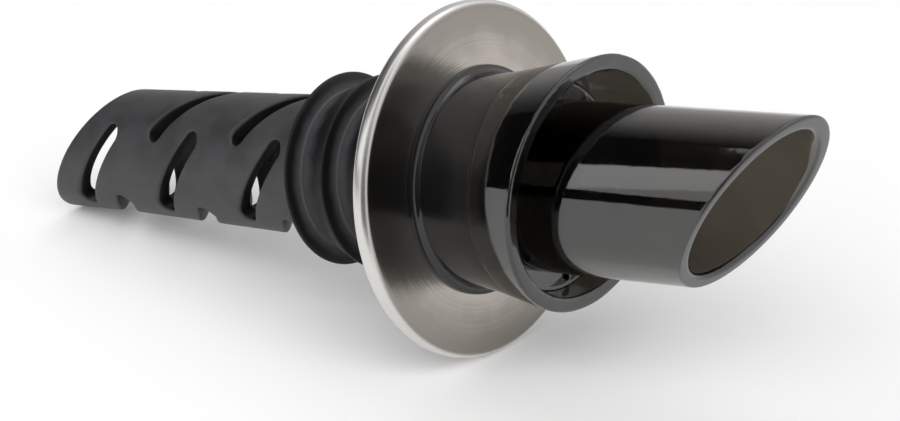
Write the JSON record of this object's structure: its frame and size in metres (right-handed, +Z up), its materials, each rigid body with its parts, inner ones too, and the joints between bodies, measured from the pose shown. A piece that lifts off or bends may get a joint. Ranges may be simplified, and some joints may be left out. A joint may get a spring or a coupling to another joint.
{
  "type": "wine aerator pourer",
  "caption": "Bottle-top wine aerator pourer: slotted tube with a slanted tip, finned rubber stopper, steel flange and a slanted spout inside a flared collar.",
  "frame": {"origin": "on the table under the middle of the bounding box, as the pourer lies at rest on the rim of the flange and the tip of the tube", "axes": "+X along the table from the tube to the spout, +Z up; the pourer's own axis rises by 11.1 degrees from +X; the side that the picture shows is -Y"},
  "size_m": [0.0978, 0.0378, 0.0372],
  "materials": {
    "black_matte": "fine matte moulding",
    "black_silicone": "matte silicone",
    "steel": "satin, turned",
    "smoked_gloss": "smoked, slightly translucent",
    "seal_rubber": "smooth"
  },
  "bodies": {
    "root": {"aeration_tube": "black_matte", "stopper": "black_silicone", "stem": "black_matte", "steel_flange": "steel", "neck": "smoked_gloss", "air_ring": "black_matte", "collar": "smoked_gloss", "spout_tube": "smoked_gloss", "spout_o_ring": "seal_rubber", "stem_o_ring": "seal_rubber"}
  },
  "joints": []
}
